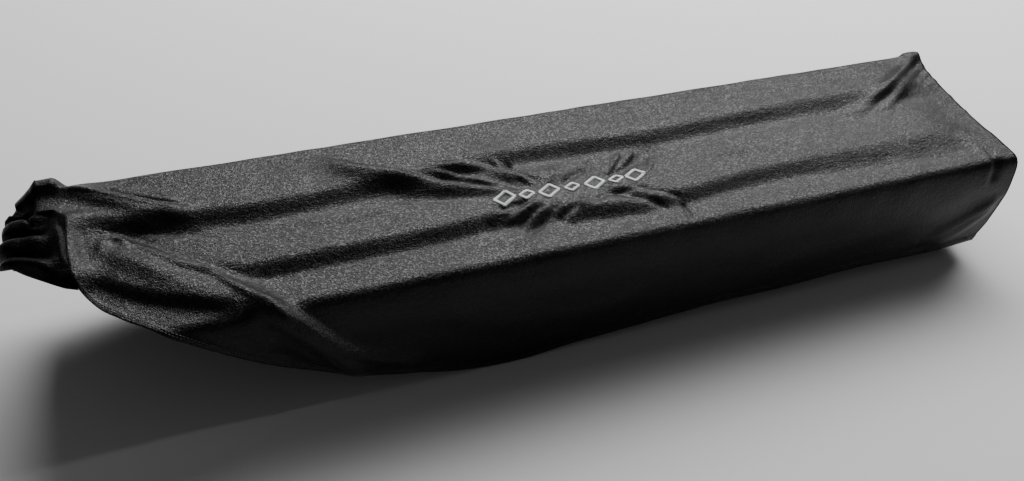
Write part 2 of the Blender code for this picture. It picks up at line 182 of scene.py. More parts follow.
# Creases too fine for the solids: puckers round the embroidery, the gathered end and the seams.
FINE_FOLDS = (
    Fold("ridge behind the rear corner's ridge", 3, 4, 10, ((58, 254), (106, 238), (150, 212), (204, 186))),
    Fold(
        "thin crest from the rear corner", 4, 4, 5,
        ((44, 250), (85, 238), (122, 216), (160, 191), (204, 176)),
    ),
    Fold("hollow before the second ridge", -2, 6, 6, ((112, 170), (150, 158), (180, 149), (220, 140))),
    Fold("small hollow at the curl", -2, 6, 6, ((98, 171), (127, 158), (156, 138))),
    Fold(
        "curl at the gathered corner", 3.6, 4, 5,
        ((95, 132), (99, 152), (110, 158), (120, 150), (126, 134)),
    ),
    Fold(
        "thin crest of the long ridge", 4, 3.2, 6,
        ((114, 154), (146, 127), (173, 101), (206, 80), (235, 44), (268, 14)),
    ),
    Fold(
        "thin crest down the front", 6, 3.5, 4,
        ((238, 40), (268, 13), (291, -3), (320, -36), (345, -66), (372, -88), (402, -102), (444, -115)),
    ),
    Fold(
        "edge of the drop by the seam", 3, 4, 12,
        ((78, 110), (96, 95), (118, 78), (142, 63), (172, 50), (204, 36), (240, 18)),
    ),
    Fold("hollow by the seam", -3, 6, 7, ((74, 182), (76, 160), (78, 138), (84, 118))),
    Fold("light streak by the hem", 3, 6, 7, ((318, -34), (342, -66), (372, -91), (410, -110), (450, -118))),
    Fold("drag line on the front", 2.2, 6, 9, ((256, -6), (276, -34), (296, -62), (318, -84))),
    Fold("drag line nearer the hem", -2.2, 6, 8, ((240, -34), (268, -54), (300, -84), (340, -100))),
    Fold(
        "crest over the dark wedge", 9, 18, 5,
        ((352, 240), (395, 204), (440, 180), (487, 158), (533, 137), (575, 120), (622, 100)),
    ),
    Fold("fine ridge in the wedge", 3.6, 3, 3, ((484, 176), (522, 162), (570, 134), (594, 115))),
    Fold("crest of the second wedge", 4.6, 8, 4, ((494, 182), (545, 173), (575, 160), (604, 130))),
    Fold("bright pucker up left", 4.3, 3.5, 4, ((572, 182), (596, 148), (618, 120))),
    Fold("hollow beside it", -3.6, 4, 4, ((590, 174), (606, 146), (624, 122))),
    Fold("dark spot above the row", -3.6, 5, 5, ((650, 114), (672, 126), (694, 136))),
    Fold("short pucker up", 2.2, 3.5, 3.5, ((636, 116), (646, 136), (652, 156))),
    Fold("short pucker up right", 2.2, 3.5, 3.5, ((690, 118), (700, 138), (704, 156))),
    Fold("bright pucker up right", 4.1, 3, 4, ((754, 156), (730, 130), (712, 115))),
    Fold("next pucker up right", 4.1, 3, 4, ((776, 156), (751, 134), (732, 120))),
    Fold("arc right of the row", 2.6, 3, 3, ((786, 148), (785, 122), (764, 102))),
    Fold("hollow left of the row", -2.9, 3, 3, ((552, 91), (574, 92), (600, 96))),
    Fold("light pucker down left", 4.1, 3, 4, ((560, 69), (588, 82), (616, 92))),
    Fold("dark pucker down left", -3.6, 4, 4, ((566, 61), (593, 74), (620, 87))),
    Fold("second dark pucker down left", -4.3, 7, 6, ((572, 43), (610, 66), (642, 84))),
    Fold("dark spot under the row", -3.6, 5, 5, ((622, 56), (640, 68), (664, 71))),
    Fold("light pucker down the middle", 2.6, 4, 4, ((640, 48), (656, 66), (674, 84))),
    Fold("hollow under the row", -2.9, 4, 4, ((674, 73), (715, 83), (746, 81))),
    Fold("pucker down right", -3.2, 5, 5, ((706, 86), (750, 62), (778, 43))),
    Fold("pucker to the right", -2.6, 4, 4, ((740, 90), (772, 69), (806, 53))),
    Fold("small crease by the front edge", -3.5, 3, 3, ((794, 52), (797, 38), (795, 14))),
    Fold("crease on the right half", 1.2, 6, 7, ((840, 128), (900, 116), (980, 112))),
    Fold("crease on the left half", 1.4, 7, 8, ((300, 138), (360, 126), (440, 128))),
    Fold("sharp pull from the rear right", 3.4, 4, 9, ((1334, 258), (1257, 209), (1209, 181), (1160, 163))),
    Fold("short pull beside it", 1.8, 4, 6, ((1262, 188), (1205, 158), (1168, 144))),
    Fold("seam pucker a", 1.2, 4, 4, ((1332, 236), (1312, 226), (1286, 212))),
    Fold("seam pucker b", 1.1, 3.5, 4, ((1332, 218), (1310, 208), (1288, 196))),
    Fold("seam pucker c", 1.1, 3.5, 4, ((1332, 200), (1310, 192), (1292, 182))),
    Fold("seam pucker d", 1.2, 5, 5, ((1332, 160), (1312, 156), (1290, 148))),
    Fold("seam pucker e", 1.2, 5, 5, ((1332, 124), (1312, 120), (1288, 116))),
    Fold("crease of the front right corner", -2, 5, 5, ((1292, 44), (1289, 12), (1284, -24))),
    Fold("low crease at the right", 3.2, 5, 8, ((1176, -122), (1227, -101), (1279, -74), (1330, -44))),
    Fold("swag on the front drop", 1.6, 16, 20, ((1310, -18), (1180, -60), (1000, -84), (860, -78))),
    Fold("swag on the front, left", 1.8, 14, 18, ((420, -20), (500, -66), (620, -94), (760, -90))),
)

# The covered body's end block lifts the cloth a little at the right.
END_BLOCK_START = 1258.0
END_BLOCK_RISE = 2.0
END_BLOCK_BACK = 84.0
END_BLOCK_EDGE = 26.0

LEFT_CORNER = (-1.5, 88.0)
LEFT_ROUNDING = 9.0
EndPlace = namedtuple("EndPlace", "out y")
LEFT_HEM = (
    EndPlace(-118, 256), EndPlace(-96, 238), EndPlace(-60, 207), EndPlace(-24, 170), EndPlace(0, 141),
    EndPlace(13, 131), EndPlace(33, 115), EndPlace(58, 96), EndPlace(71, 90),
)
LEFT_FOLDS = (
    Fold("shoulder", 7, 12, 12, ((-90, 244), (-30, 236), (4, 233), (44, 230))),
    Fold("upper roll", 12, 12, 14, ((-100, 224), (-40, 214), (6, 208), (52, 204))),
    Fold("middle roll", 14, 11, 12, ((-70, 196), (-30, 182), (6, 172), (54, 158))),
    Fold("lower roll", 8, 9, 10, ((-36, 166), (-6, 150), (24, 136), (56, 112))),
    Fold("pleat beside the seam", 5, 7, 9, ((44, 206), (50, 180), (52, 142), (58, 112))),
)
LEFT_FINE_FOLDS = (
    Fold("valley under the shoulder", -6, 5, 5, ((-104, 234), (-36, 224), (2, 221), (48, 217))),
    Fold("valley under the upper roll", -7, 5, 5, ((-96, 208), (-36, 197), (4, 190), (54, 180))),
    Fold("valley under the middle roll", -6, 5, 5, ((-60, 180), (-18, 165), (12, 154), (56, 134))),
    Fold("small roll", 5, 4, 4, ((-112, 246), (-60, 234), (-20, 228), (30, 226))),
    Fold("small roll low on the side", 5, 4, 5, ((-92, 222), (-56, 206), (-20, 200), (20, 198))),
    Fold("roll under the middle roll", 5, 4, 5, ((-60, 190), (-30, 174), (0, 162), (40, 148))),
    Fold("small roll by the hem", 4, 4, 4, ((-30, 164), (-6, 146), (26, 130), (52, 112))),
    Fold("sharp pleat", 3, 3, 4, ((48, 200), (54, 172), (58, 140), (62, 116))),
)
RIGHT_BULGE = 4.0
RIGHT_WAVE = 0.35
RIGHT_TURN = 0.12

# How far a fold reaches to its sides, in widths, and the share of its path over which it runs out.
FOLD_REACH = 3.0
FOLD_TAPER = 0.22

# Rows and columns of the fine cloth.
TOP_ROWS = 84
EDGE_ROW_SHARE = 0.008
# Distance between columns along the cover, as (x, pitch): finest round the embroidery and at the ends.
COLUMN_PITCH = (
    (0, 3.2), (250, 3.4), (310, 5.4), (440, 5.0), (500, 2.8), (810, 2.8), (870, 6.0), (1190, 6.0),
    (1245, 3.6), (1322, 3.2),
)
SEAM_COLUMN = 1.6
# Rows of a drop from its hem (0) to its fold (1), closer together over the turned hem.
DROP_SHARES = np.concatenate([(0.0, 0.025, 0.045, 0.06, 0.075), np.linspace(0.1, 1.0, 22)])
DROP_ROWS = len(DROP_SHARES) - 1
ROWS = 2 * DROP_ROWS + TOP_ROWS

# Camera: matched to the photograph's perspective, in the cover's own frame.
CAMERA_LENS = 32.08
CAMERA_SENSOR = 36.0
CAMERA_PLACE = np.array((227.9, -697.9, 845.5))
CAMERA_RIGHT = (0.93670, -0.34254, 0.07253)
CAMERA_UP = (0.18690, 0.66433, 0.72369)
CAMERA_BACK = (-0.29608, -0.66433, 0.68630)
CAMERA_NEAR = 0.02

# Lights and floor, in metres of the cover's own frame.
REAR_LIGHT_PLACE = (0.95, 1.62, 1.68)
REAR_LIGHT_TARGET = (0.2, 0.05, 0.0)
REAR_LIGHT_SIZE = (4.1, 1.15)
SIDE_LIGHT_PLACE = (2.7, -0.32, 0.5)
SIDE_LIGHT_TARGET = (-0.31, -0.14, -0.03)
SIDE_LIGHT_ANGLE = np.radians(6.5)
SIDE_LIGHT_RADIUS = 0.05
FLOOR_REACH = 9.0
FLOOR_DROP = 0.002

# Painted shade: share of the glint kept on hanging faces, and on the end panels, which are a darker copy of
# the velvet.
PAINTED_SHADE_SIDE_GLINT = 0.2
PAINTED_END_SHADE_SHARE = 0.22

# Velvet: bumps per metre of its grain, pile tufts, brushed and crushed patches, and the depth of its relief.
GRAIN_SCALE = 520.0
TUFT_SCALE = 560.0
PILE_SCALE = 150.0
BRUSHED_SCALE = 26.0
CRUSHED_SCALE = 24.0
VELVET_RELIEF = 0.0014

# The embroidered row: outlines of lozenges that lean to the right, large and small in turn.
Lozenge = namedtuple("Lozenge", "half_length half_height band")
LARGE_LOZENGE = Lozenge(14.0, 11.0, 4.6)
SMALL_LOZENGE = Lozenge(10.0, 7.0, 4.0)
MOTIF_X = (570.0, 600.0, 631.0, 663.0, 695.0, 726.0, 754.0)
MOTIF_Y = 106.0
MOTIF_LEAN = 0.35
STRAND_SLANT = 1.2
STRAND_WIDTH = 1.25
STRAND_CROWN = 0.7
STRAND_PROUD = 0.25
STRAND_STEPS = 4
STRAND_TIP = 0.45
STRAND_DEPTH = 0.38

# Two rows of stitches along a hem.
STITCH_ROWS = (0.0, 3.0)
STITCH_SHARE = 0.72
STITCH_WIDTH = 0.75
STITCH_CROWN = 0.25
STITCH_PROUD = 0.1
STITCH_MARGIN = 6.0
STITCH_STEP = 0.5


def curve_through(places, x):
    """Smooth value at x through (x, value) places, flat past both ends."""
    xs, ys = np.array(places, float).T
    slope = np.gradient(ys, xs)
    x = np.clip(x, xs[0], xs[-1])
    at = np.clip(np.searchsorted(xs, x, side="right") - 1, 0, len(xs) - 2)
    run = xs[at + 1] - xs[at]
    f = (x - xs[at]) / run
    start = (1 + 2 * f) * (1 - f) ** 2 * ys[at] + f * (1 - f) ** 2 * run * slope[at]
    return start + f * f * (3 - 2 * f) * ys[at + 1] + f * f * (f - 1) * run * slope[at + 1]


def ease(f):
    """0 before 0, 1 after 1 and a smooth rise between."""
    f = np.clip(f, 0.0, 1.0)
    return f * f * (3.0 - 2.0 * f)


def bent_line(points, roundings, zero, at):
    """Place and outward normal at a distance along a bent line with rounded corners."""
    points = np.array(points, float)
    runs = np.diff(points, axis=0)
    lengths = np.hypot(*runs.T)
    corners = np.concatenate([[0.0], np.cumsum(lengths)])
    corners -= corners[zero]
    heading = runs / lengths[:, None]
    leg = np.clip(np.searchsorted(corners, at, side="right") - 1, 0, len(runs) - 1)
    place = points[leg] + heading[leg] * (at - corners[leg])[..., None]
    along = heading[leg].copy()
    for k in range(1, len(points) - 1):
        rounding = roundings[k]
        f = (at - corners[k] + rounding) / (2 * rounding)
        inside = ((f > 0) & (f < 1))[..., None]
        f = np.clip(f, 0.0, 1.0)[..., None]
        before = points[k] - heading[k - 1] * rounding
        after = points[k] + heading[k] * rounding
        bend = (1 - f) ** 2 * before + 2 * f * (1 - f) * points[k] + f**2 * after
        turn = (1 - f) * heading[k - 1] + f * heading[k]
        place = np.where(inside, bend, place)
        along = np.where(inside, turn, along)
    along /= np.hypot(along[..., 0], along[..., 1])[..., None]
    return place, np.stack([-along[..., 1], along[..., 0]], axis=-1)


def smooth_path(points, steps=5):
    """Points of a smooth curve through the given ones, with how far along each lies, from 0 to 1."""
    points = np.array(points, float)
    reach = np.concatenate([[0.0], np.cumsum(np.hypot(*np.diff(points, axis=0).T))])
    at = np.linspace(0.0, reach[-1], steps * (len(points) - 1) + 1)
    bend = [curve_through(np.stack([reach, points[:, k]], axis=1), at) for k in (0, 1)]
    return np.stack(bend, axis=1), at / reach[-1]


def fold_height(fold, x, across):
    """Height that one fold adds at each point: a ridge along its path that runs out at both ends."""
    path, along = smooth_path(fold.path)
    reach = FOLD_REACH * max(fold.front_width, fold.rear_width)
    near = (x > path[:, 0].min() - reach) & (x < path[:, 0].max() + reach)
    near &= (across > path[:, 1].min() - reach) & (across < path[:, 1].max() + reach)
    total = np.zeros(x.shape)
    x, across = x[near], across[near]
    nearest = np.full(x.shape, np.inf)
    height = np.zeros(x.shape)
    for (x0, a0), (x1, a1), s0, s1 in zip(path, path[1:], along, along[1:]):
        dx, da = x1 - x0, a1 - a0
        f = np.clip(((x - x0) * dx + (across - a0) * da) / (dx * dx + da * da), 0.0, 1.0)
        off_x, off_a = x - x0 - f * dx, across - a0 - f * da
        distance = np.hypot(off_x, off_a)
        side = dx * off_a - da * off_x if dx > 0 else da * off_x - dx * off_a
        width = np.where(side > 0, fold.rear_width, fold.front_width)
        s = s0 + f * (s1 - s0)
        taper = ease(s / FOLD_TAPER) * ease((1.0 - s) / FOLD_TAPER)
        here = fold.height * taper * np.exp(-((distance / width) ** 2))
        height = np.where(distance < nearest, here, height)
        nearest = np.minimum(nearest, distance)
    total[near] = height
    return total


def top_offset(x, across):
    """How far the stepped top stands above the straight line from the front edge to the rear edge."""
    front, rear = SECTION[FRONT_EDGE], SECTION[REAR_EDGE]
    y = np.clip(across, front.y, rear.y)
    level = FRONT_HEIGHT + (front.z - FRONT_HEIGHT) * ease(1.0 - (y - front.y) / front.rounding)
    spread_out = 1.0 + STEP_SPREAD * ease((STEP_START - x) / STEP_SPREAD_LENGTH)
    for step in STEPS:
        run = step.run * spread_out * np.interp(x, *zip(*step.widening))
        level = level + step.rise * ease((y - curve_through(step.line, x)) / run + 0.5)
    end_level = curve_through(RIGHT_END_LEVEL, y)
    level = level + (end_level - level) * ease((x - RIGHT_FADE_START) / RIGHT_FADE_LENGTH)
    straight = front.z + (rear.z - front.z) * (y - front.y) / (rear.y - front.y)
    return level - straight


def slack(x, across):
    """Slight waves of cloth that lies loose, 0.5 mm either way at most."""
    waves = np.sin(x / 31.0 + 1.7 * np.sin(across / 43.0)) * np.sin(across / 17.0 + x / 90.0)
    return 0.3 * waves + 0.2 * np.sin(x / 13.0 - across / 21.0 + 2.0 * np.sin(x / 57.0))


def main_surface(x, across, tuck=0.0):
    """Inner face of the main panel; tuck draws it in, as beside a seam."""
    profile = [(corner.y, corner.z) for corner in SECTION]
    roundings = [corner.rounding for corner in SECTION]
    place, normal = bent_line(profile, roundings, FRONT_EDGE, across - SECTION[FRONT_EDGE].y)
    lift = sum(fold_height(fold, x, across) for fold in MAIN_FOLDS + FINE_FOLDS)
    end_block = ease((x - END_BLOCK_START) / END_BLOCK_EDGE)
    end_block = end_block * ease(across / END_BLOCK_EDGE + 1.0)
    end_block = end_block * ease((END_BLOCK_BACK - across) / END_BLOCK_EDGE)
    lift = lift + END_BLOCK_RISE * end_block + slack(x, across) - tuck
    from_hem = np.minimum(across - curve_through(FRONT_HEM, x), curve_through(REAR_HEM, x) - across)
    lift = lift + HEM_RISE * ease((HEM_WIDTH + HEM_SLOPE_PAST - from_hem) / HEM_SLOPE)
    y = place[..., 0] + normal[..., 0] * lift
    z = place[..., 1] + normal[..., 1] * lift + top_offset(x, across)
    return np.stack([x, y, z], axis=-1)


def column_places():
    """Places of the columns from 0 to 1, by the table of pitches."""
    places = [0.0]
    while places[-1] < LENGTH:
        places.append(places[-1] + np.interp(places[-1], *zip(*COLUMN_PITCH)))
    places = np.array(places) / places[-1]
    return np.insert(places, -1, 1.0 - SEAM_COLUMN / LENGTH)


def row_across(x):
    """Across at each row for each x: up the front drop, over the top and down the rear drop."""
    hem = curve_through(FRONT_HEM, x)
    fold = curve_through(FRONT_FOLD, x)
    rear = np.full_like(x, SECTION[REAR_EDGE].y)
    end = curve_through(REAR_HEM, x)
    top = np.linspace(0.0, 1.0, TOP_ROWS + 1)
    top[1], top[-2] = EDGE_ROW_SHARE, 1.0 - EDGE_ROW_SHARE
    rows = [hem + (fold - hem) * f for f in DROP_SHARES]
    rows += [fold + (rear - fold) * f for f in top[1:]]
    rows += [end + (rear - end) * f for f in DROP_SHARES[-2::-1]]
    return rows


def main_points():
    """Rows and columns of the main panel's inner face, the first row at the front hem."""
    columns = column_places()
    left_across = np.array(row_across(np.full(1, CORNER.x)))[:, 0]
    foot = LEFT_SEAM[0].across
    left_across[:DROP_ROWS] = foot + (CORNER.across - foot) * DROP_SHARES[:-1]
    right_across = np.array(row_across(np.full(1, LENGTH)))[:, 0]
    left = np.interp(left_across, [p.across for p in LEFT_SEAM], [p.x for p in LEFT_SEAM])
    right = np.interp(right_across, [p.across for p in RIGHT_SEAM], [p.x for p in RIGHT_SEAM])
    x = left[:, None] + (right - left)[:, None] * columns
    across = np.stack([row_across(x[r])[r] for r in range(ROWS + 1)])
    across[:DROP_ROWS, 0] = left_across[:DROP_ROWS]
    tuck = np.zeros_like(x)
    tuck[:, -1] = SEAM_TUCK
    return main_surface(x, across, tuck)


def seam_border(edge, inner, side):
    """The other side of a seam: a border that lies just under the main panel's edge."""
    along = np.gradient(edge, axis=0)
    along /= np.linalg.norm(along, axis=1)[:, None]
    out = edge - inner
    out -= (out * along).sum(axis=1)[:, None] * along
    out /= np.linalg.norm(out, axis=1)[:, None]
    inward = np.cross(along, out) * side
    return edge - out * SEAM_UNDERLAP + inward * SEAM_DROP


def spread(start_side, end_side, hem, seam):
    """A surface spanned between four borders; the sides run from the hem up to the seam."""
    p = np.linspace(0.0, 1.0, len(hem))[None, :, None]
    q = DROP_SHARES[:, None, None]
    corners = (1 - p) * ((1 - q) * start_side[0] + q * start_side[-1])
    corners = corners + p * ((1 - q) * end_side[0] + q * end_side[-1])
    sides = (1 - p) * start_side[:, None] + p * end_side[:, None]
    return sides + (1 - q) * hem[None] + q * seam[None] - corners


def left_surface(out, y):
    """Inner face of the left end panel where it lies over its corner, before its seams are met."""
    corner_x, corner_z = LEFT_CORNER
    line = ((corner_x, corner_z - 200.0), (corner_x, corner_z), (corner_x + 200.0, corner_z))
    place, normal = bent_line(line, (0.0, LEFT_ROUNDING, 0.0), 1, out)
    lift = sum(fold_height(fold, out, y) for fold in LEFT_FOLDS + LEFT_FINE_FOLDS)
    x = place[..., 0] + normal[..., 0] * lift
    z = place[..., 1] + normal[..., 1] * lift
    return np.stack([x, y, z], axis=-1)


def left_points(main):
    """Rows and columns of the left end panel, from the rear to the front."""
    border = seam_border(main[:, 0], main[:, 1], 1.0)
    rear = border[: DROP_ROWS + TOP_ROWS - 1 : -1]
    seam = border[DROP_ROWS + TOP_ROWS : DROP_ROWS - 1 : -1]
    front = border[: DROP_ROWS + 1]
    hem_at = np.linspace(0.0, len(LEFT_HEM) - 1.0, TOP_ROWS + 1)
    hem = np.stack([np.interp(hem_at, range(len(LEFT_HEM)), side) for side in np.array(LEFT_HEM).T], axis=1)
    corner_x, corner_z = LEFT_CORNER

    def unrolled(points):
        on_top = points[:, 2] >= corner_z - LEFT_ROUNDING
        out = np.where(on_top, points[:, 0] - corner_x, points[:, 2] - corner_z)
        return np.stack([out, points[:, 1]], axis=1)

    flat = spread(unrolled(rear), unrolled(front), hem, unrolled(seam))
    points = left_surface(flat[..., 0], flat[..., 1])
    still = np.zeros_like(points[0])
    return points + spread(rear - points[:, 0], front - points[:, -1], still, seam - points[-1])


def right_points(main):
    """Rows and columns of the right end panel, from the front to the rear."""
    border = seam_border(main[:, -1], main[:, -2], -1.0)
    front = border[: DROP_ROWS + 1]
    seam = border[DROP_ROWS : DROP_ROWS + TOP_ROWS + 1]
    rear = border[: DROP_ROWS + TOP_ROWS - 1 : -1]
    p = np.linspace(0.0, 1.0, TOP_ROWS + 1)
    hem = front[0] + (rear[0] - front[0]) * p[:, None]
    points = spread(front, rear, hem, seam)
    rise = ease((1.0 - DROP_SHARES[:, None]) / RIGHT_TURN)
    waves = 1.0 + RIGHT_WAVE * np.sin(p * 11.0 + 1.0) * (1.0 - DROP_SHARES[:, None])
    points[..., 0] += RIGHT_BULGE * rise * np.sin(np.pi * p) ** 0.5 * waves
    return points


class Value:
    """A shader socket that takes part in Python expressions; each operator adds a Math node."""

    def __init__(self, graph, socket):
        self.graph = graph
        self.socket = socket

    def maths(self, operation, first, second):
        return self.graph.node("ShaderNodeMath", {"operation": operation}, {0: first, 1: second})

    def __add__(self, other):
        return self.maths("ADD", self, other)

    def __sub__(self, other):
        return self.maths("SUBTRACT", self, other)

    def __rsub__(self, other):
        return self.maths("SUBTRACT", other, self)

    def __mul__(self, other):
        return self.maths("MULTIPLY", self, other)

    __radd__ = __add__
    __rmul__ = __mul__


class Graph:
    """The node tree of one material."""

    def __init__(self, name):
        self.material = bpy.data.materials.new(name)
        self.material.use_nodes = True
        self.tree = self.material.node_tree
        self.shader = self.tree.nodes["Principled BSDF"]

    def node(self, kind, settings=None, inputs=None, output=0):
        """Adds a node, applies its settings, feeds its sockets and gives one output."""
        made = self.tree.nodes.new(kind)
        for name, value in (settings or {}).items():
            if name == "stops":
                for stop, (place, level) in zip(made.color_ramp.elements, value):
                    stop.position = place
                    stop.color = (level, level, level, 1.0)
            else:
                setattr(made, name, value)
        for name, value in (inputs or {}).items():
            self.feed(made.inputs[name], value)
        return Value(self, made.outputs[output])

    def feed(self, socket, value):
        if isinstance(value, Value):
            self.tree.links.new(value.socket, socket)
        else:
            socket.default_value = value

    def set(self, **values):
        """Sets the shader's sockets, named with _ for a space, to constants or links."""
        for name, value in values.items():
            self.feed(self.shader.inputs[name.replace("_", " ")], value)

    def place(self):
        """Position in the object's own metres."""
        return self.node("ShaderNodeTexCoord", output="Object")

    def noise(self, scale, detail=2.0, roughness=0.5, stretch=(1.0, 1.0, 1.0)):
        """Noise in the object's own metres; scale is bumps per metre."""
        place = self.node("ShaderNodeMapping", inputs={"Vector": self.place(), "Scale": stretch})
        values = {"Vector": place, "Scale": scale, "Detail": detail, "Roughness": roughness}
        return self.node("ShaderNodeTexNoise", {"noise_dimensions": "3D"}, values)

    def ramp(self, factor, low, high):
        """0 below low, 1 above high and a straight rise between."""
        return self.node("ShaderNodeValToRGB", {"stops": ((low, 0.0), (high, 1.0))}, {"Fac": factor})

    def blend(self, factor, first, second):
        """A colour between two, by a Mix node."""
        return self.node("ShaderNodeMix", {"data_type": "RGBA"}, {0: factor, 6: first, 7: second}, 2)

    def bump(self, height, distance, strength=1.0):
        """A normal with relief; distance is in metres."""
        values = {"Height": height, "Distance": distance, "Strength": strength}
        return self.node("ShaderNodeBump", inputs=values)


def velvet_material(name, painted_shade_share):
    """Black stretch velvet: short pile that glints in grains and brushed patches, with painted shade on
    tilted and hanging faces.

    The second argument scales the glint colour and specular level; below 1 it paints shade over a whole
    panel.
    """
    graph = Graph(name)
    grain = graph.noise(GRAIN_SCALE, 2.0, 0.6)
    at = {"Vector": graph.place(), "Scale": TUFT_SCALE}
    tufts = graph.node("ShaderNodeTexVoronoi", {"feature": "F1"}, at, "Color")
    tufts = graph.node("ShaderNodeSeparateColor", inputs={"Color": tufts}, output="Red")
    pile = graph.noise(PILE_SCALE, 3.0, 0.6, (1.0, 1.6, 1.0))
    brushed = graph.noise(BRUSHED_SCALE, 3.0, 0.55, (0.5, 1.4, 1.0))
    glint = graph.ramp(tufts * 0.75 + grain * 0.25, 0.5, 0.8)
    crushed = graph.ramp(graph.noise(CRUSHED_SCALE, 4.0, 0.65, (0.6, 1.5, 1.0)), 0.5, 0.7)
    facing = graph.node("ShaderNodeNewGeometry", output="Normal")
    facing = graph.node("ShaderNodeSeparateXYZ", inputs={"Vector": facing}, output="Z")
    # Painted shade: the glint falls off as the face turns from up, darkening slopes and hanging sides.
    painted_tilt_shade = PAINTED_SHADE_SIDE_GLINT + (1.0 - PAINTED_SHADE_SIDE_GLINT) * graph.ramp(facing, 0.7, 0.99)
    glint = glint * (1.0 - 0.4 * crushed) * painted_tilt_shade
    settings = bpy.context.scene.cover
    ground = tuple(settings.cloth_colour) + (1.0,)
    graph.set(Base_Color=graph.blend(glint, ground, (settings.pile_glint * painted_shade_share,) * 3 + (1.0,)))
    graph.set(Metallic=glint)
    graph.set(Roughness=0.2 + 0.14 * grain + 0.12 * brushed)
    graph.set(Normal=graph.bump(grain * 0.7 + pile * 0.55 + brushed * 1.2, VELVET_RELIEF))
    graph.set(Sheen_Weight=0.02, Sheen_Roughness=0.4, Specular_IOR_Level=0.2 * painted_shade_share, IOR=1.5)
    return graph.material


def thread_material(settings):
    """Pale satin embroidery thread with a fine twist."""
    graph = Graph("satin_thread")
    twist = graph.noise(1500.0, 1.0, 0.5)
    patch = graph.noise(90.0, 2.0, 0.5)
    bright = tuple(settings.thread_colour) + (1.0,)
    dull = tuple(c * 0.8 for c in settings.thread_colour) + (1.0,)
    graph.set(Base_Color=graph.blend(graph.ramp(patch, 0.35, 0.62), dull, bright))
    graph.set(Roughness=0.3 + 0.2 * twist)
    graph.set(Normal=graph.bump(twist, 0.0002, 0.6))
    graph.set(Sheen_Weight=0.6, Sheen_Roughness=0.3, Specular_IOR_Level=0.9)
    return graph.material


def stitch_material():
    """Dark grey sewing thread of the hems."""
    graph = Graph("hem_thread")
    twist = graph.noise(1800.0, 1.0, 0.5)
    graph.set(Base_Color=graph.blend(twist, (0.035, 0.035, 0.037, 1.0), (0.11, 0.11, 0.115, 1.0)))
    graph.set(Roughness=0.42 + 0.2 * twist)
    graph.set(Normal=graph.bump(twist, 0.00015, 0.5))
    return graph.material


def floor_material(settings):
    """Plain matt floor with a faint mottle."""
    graph = Graph("studio_floor")
    mottle = graph.noise(3.0, 2.0, 0.5)
    tone = settings.floor_tone
    graph.set(Base_Color=graph.blend(mottle, (tone,) * 3 + (1.0,), (tone * 0.985,) * 3 + (1.0,)))
    graph.set(Roughness=0.9)
    graph.set(Specular_IOR_Level=0.1)
    return graph.material


def row_frame(points):
    """Millimetres of the tables to metres of the part's own frame."""
    return (np.asarray(points, float) - ORIGIN) * MM


def mesh_object(name, bm, material):
    """Turns a bmesh into a smooth object with one material."""
    mesh = bpy.data.meshes.new(name)
    bm.to_mesh(mesh)
    bm.free()
    mesh.shade_smooth()
    mesh.materials.append(material)
    made = bpy.data.objects.new(name, mesh)
    bpy.context.scene.collection.objects.link(made)
    return made


def grid_object(name, points, material):
    """A sheet object over rows and columns of points, given in millimetres."""
    rows, columns = points.shape[:2]
    places = row_frame(points)
    bm = bmesh.new()
    bmesh.ops.create_grid(bm, x_segments=columns - 1, y_segments=rows - 1, size=1.0)
    for vertex in bm.verts:
        column = round((vertex.co.x + 1) / 2 * (columns - 1))
        row = round((vertex.co.y + 1) / 2 * (rows - 1))
        vertex.co = places[row, column]
    return mesh_object(name, bm, material)


def placed(data, right, up, back, place):
    """Links an object of a camera or light, with its own axes given in the part's frame."""
    matrix = np.eye(4)
    matrix[:3, :3] = np.array((right, up, back)).T
    matrix[:3, 3] = place
    made = bpy.data.objects.new(data.name, data)
    made.matrix_world = Matrix(matrix.tolist())
    bpy.context.scene.collection.objects.link(made)
    return made


def aimed(data, place, target):
    """Places a light so that it shines from one place towards another."""
    ahead = np.subtract(target, place)
    ahead /= np.linalg.norm(ahead)
    right = np.cross(ahead, (0.0, 0.0, 1.0))
    right /= np.linalg.norm(right)
    return placed(data, right, np.cross(right, ahead), -ahead, place)


def cloth_sheet(name, node, points, material):
    """One panel of velvet with its thickness, in place of the solid of the same panel."""
    settings = bpy.context.scene.cover
    sheet = grid_object(name, points, material)
    thickness = sheet.modifiers.new("thickness", "SOLIDIFY")
    thickness.thickness = settings.cloth_thickness
    thickness.offset = 1.0
    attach(sheet, "root")
    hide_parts(node)
    return sheet


def on_main(x, across, proud):
    """Place on the outer face of the main panel and the outward normal, for arrays of x and across."""
    x, across = np.broadcast_arrays(np.asarray(x, float), np.asarray(across, float))
    step = 1.5
    here = main_surface(x, across)
    dx = main_surface(x + step, across) - main_surface(x - step, across)
    da = main_surface(x, across + step) - main_surface(x, across - step)
    normal = np.cross(dx, da)
    normal /= np.linalg.norm(normal, axis=-1)[..., None]
    return here + normal * proud, normal


